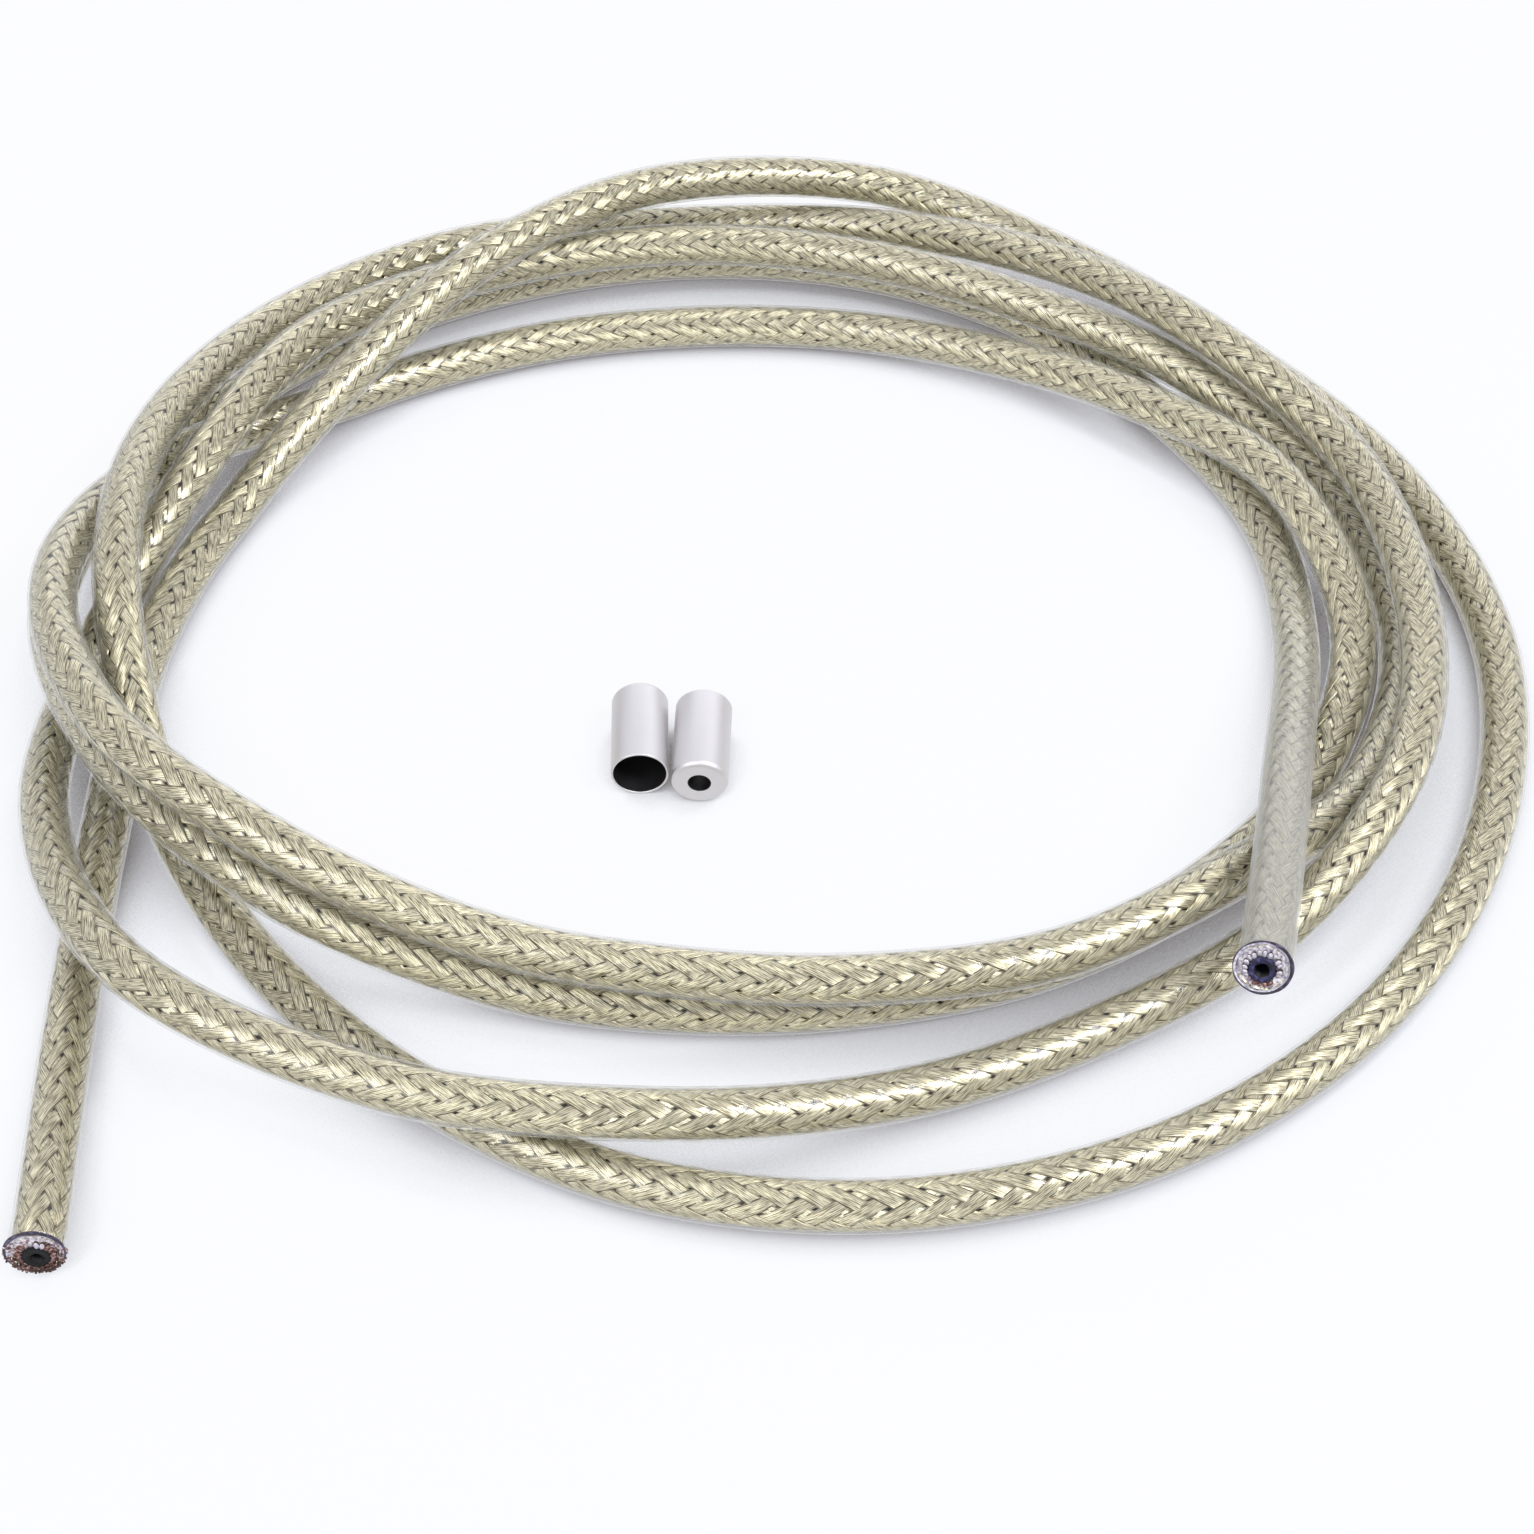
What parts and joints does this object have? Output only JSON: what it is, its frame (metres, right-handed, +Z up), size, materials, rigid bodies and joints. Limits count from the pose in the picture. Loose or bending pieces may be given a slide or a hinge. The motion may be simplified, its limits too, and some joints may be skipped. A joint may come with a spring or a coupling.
{
  "type": "shift cable housing",
  "caption": "Braided bicycle shift cable housing in a loose coil, with a clear jacket, steel wires and a slick liner, and loose end ferrules beside it.",
  "frame": {"origin": "on the surface that the part lies on, under the middle of its bounding box", "axes": "+Z up from the surface, and +Y from the front of the coil, where the cut ends lie, to the back"},
  "size_m": [0.126, 0.125, 0.0146],
  "materials": {
    "clear_jacket": "glossy clear",
    "gold_braid": "satin braided filament",
    "wire_steel": "bright drawn wire",
    "dark_liner": "satin",
    "nickel_plate": "bright nickel plate"
  },
  "bodies": {
    "root": {"outer_jacket": "clear_jacket", "braided_sleeve": "gold_braid", "steel_wire_ring": "wire_steel", "inner_liner": "dark_liner", "ferrule_left": "nickel_plate", "ferrule_right": "nickel_plate"}
  },
  "joints": []
}
